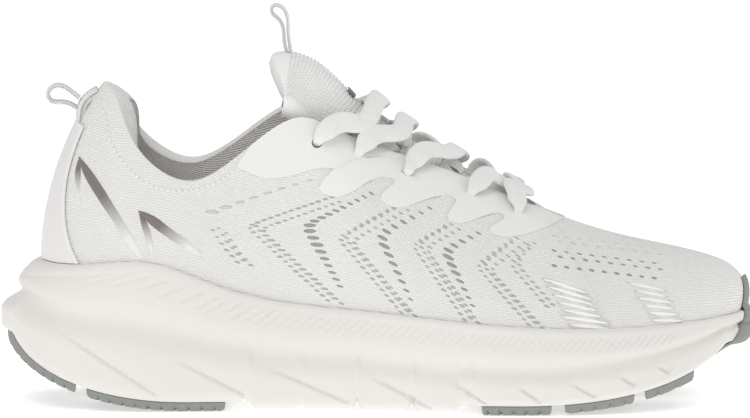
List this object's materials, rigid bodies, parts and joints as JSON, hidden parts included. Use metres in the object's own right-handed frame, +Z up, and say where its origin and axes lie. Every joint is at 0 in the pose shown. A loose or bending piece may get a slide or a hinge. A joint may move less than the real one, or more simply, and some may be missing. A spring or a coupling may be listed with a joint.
{
  "type": "running shoe",
  "caption": "Low laced running shoe for the right foot: knitted upper with a padded collar, tongue and pull loops on a thick, curled foam sole with rubber pads",
  "frame": {"origin": "bottom centre of the bounding box, on the floor under the middle of the shoe", "axes": "+X points to the toe, -Y to the outer side of this right shoe, +Z up"},
  "size_m": [0.3014, 0.105, 0.1589],
  "materials": {
    "white_knit": "fine knitted mesh with slanted ribs",
    "white_film": "smooth satin film",
    "white_foam": "satin moulded foam",
    "grey_rubber": "matt solid rubber",
    "grey_lining": "brushed lining cloth",
    "padding_foam": "open-cell foam",
    "white_webbing": "ribbed woven tape",
    "gradient_film": "smooth film fading from warm dark grey to white",
    "lasting_board": "pressed fibre sheet",
    "hard_plastic": "smooth moulded plastic",
    "lace_white": "flat tubular weave"
  },
  "bodies": {
    "shell": {"upper_mesh": "white_knit", "eyestay_film": "white_film", "heel_clip": "white_film", "midsole": "white_foam", "outsole_heel_wrap": "grey_rubber", "outsole_heel_lateral": "grey_rubber", "outsole_heel_medial": "grey_rubber", "outsole_ball_lateral_1": "grey_rubber", "outsole_ball_lateral_2": "grey_rubber", "outsole_ball_lateral_3": "grey_rubber", "outsole_ball_medial_1": "grey_rubber", "outsole_ball_medial_2": "grey_rubber", "outsole_ball_medial_3": "grey_rubber", "outsole_toe_wrap": "grey_rubber", "collar_lining": "grey_lining", "collar_padding": "padding_foam", "heel_loop_tab": "white_webbing", "stripe_lateral_rear": "gradient_film", "stripe_lateral_front": "gradient_film", "stripe_medial_rear": "gradient_film", "stripe_medial_front": "gradient_film", "lasting_board": "lasting_board", "heel_counter": "hard_plastic", "toe_puff": "hard_plastic", "aglet_1": "hard_plastic", "aglet_2": "hard_plastic", "lace": "lace_white"},
    "tongue": {"tongue_face": "white_knit", "tongue_padding": "padding_foam", "tongue_lining": "grey_lining", "tongue_label": "gradient_film"},
    "tongue_loop": {"tongue_loop": "white_webbing"},
    "heel_loop": {"heel_loop": "white_webbing"},
    "insole": {"insole": "grey_lining"}
  },
  "joints": [
    {"name": "tongue_drop", "type": "hinge", "parent": "shell", "child": "tongue", "pos_m": [0.07534, 0.00272, 0.064], "axis": [0, -1, 0], "range_deg": [0, 10], "stiffness_Nm_per_rad": 0.3, "springref_deg": -5.73},
    {"name": "tongue_loop_flop", "type": "hinge", "parent": "tongue", "child": "tongue_loop", "pos_m": [-0.03616, 0.00272, 0.1406], "axis": [0, 1, 0], "range_deg": [-30, 30], "stiffness_Nm_per_rad": 0.004},
    {"name": "heel_loop_flop", "type": "hinge", "parent": "shell", "child": "heel_loop", "pos_m": [-0.12226, 0.00272, 0.1222], "axis": [0, 1, 0], "range_deg": [-30, 35], "stiffness_Nm_per_rad": 0.004},
    {"name": "insole_lift", "type": "hinge", "parent": "shell", "child": "insole", "pos_m": [0.14034, 0.00672, 0.032], "axis": [0, 1, 0], "range_deg": [0, 5]}
  ]
}
